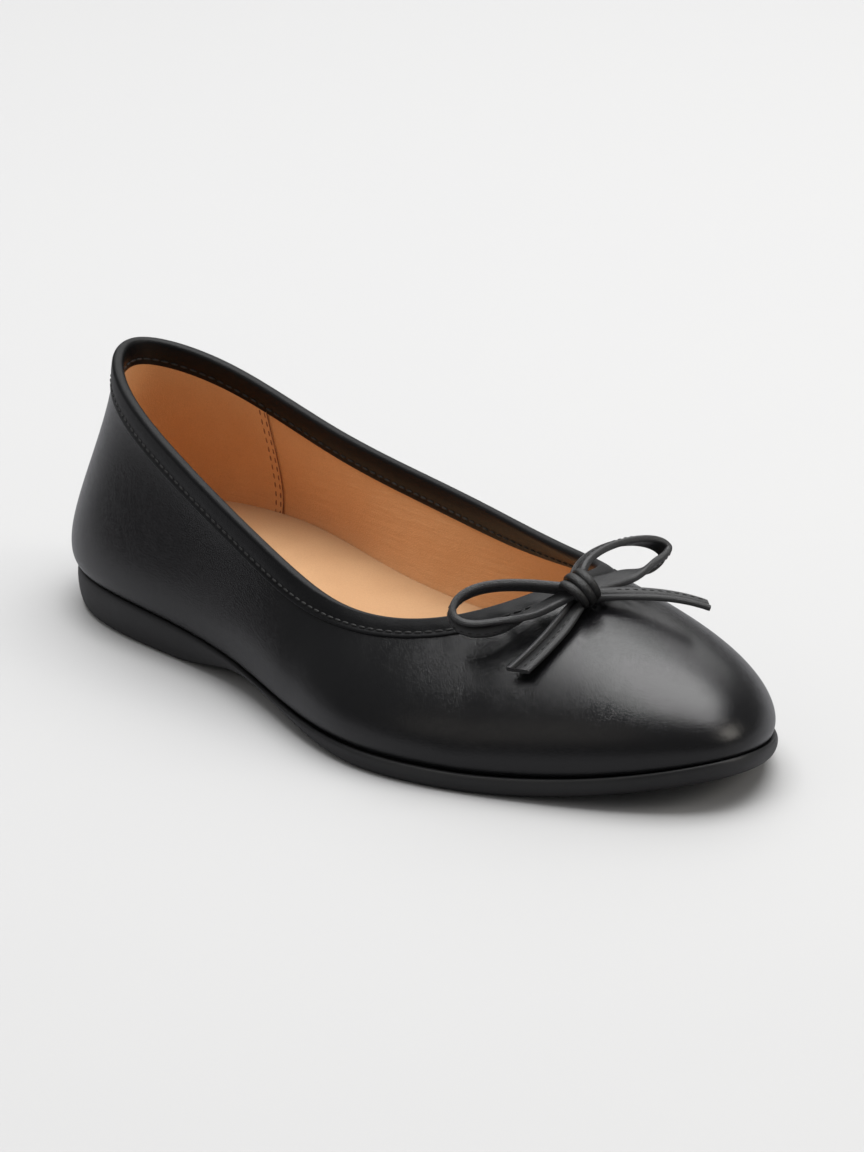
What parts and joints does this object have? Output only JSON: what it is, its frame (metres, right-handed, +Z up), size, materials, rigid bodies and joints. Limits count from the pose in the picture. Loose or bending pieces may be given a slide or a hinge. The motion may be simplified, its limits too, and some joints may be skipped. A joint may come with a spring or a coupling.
{
  "type": "ballet flat shoe",
  "caption": "Low ballet flat for the right foot, with a rounded toe, a bound collar, a small strap bow at the throat and a thin moulded sole.",
  "frame": {"origin": "bottom centre of the shoe's box, on the floor under the middle of its length", "axes": "+X towards the toe, +Y towards the medial side, +Z up"},
  "size_m": [0.2517, 0.088, 0.0622],
  "materials": {
    "outsole_rubber": "matt moulded rubber",
    "upper_leather": "smooth satin leather",
    "sock_leather": "soft matt leather",
    "binding_leather": "smooth satin leather",
    "bow_leather": "smooth satin leather"
  },
  "bodies": {
    "root": {"outsole": "outsole_rubber", "upper": "upper_leather", "insole": "sock_leather", "collar_binding": "binding_leather", "bow_knot": "bow_leather", "bow_loop_lateral": "bow_leather", "bow_loop_medial": "bow_leather", "bow_tail_lateral": "bow_leather", "bow_tail_medial": "bow_leather"}
  },
  "joints": []
}
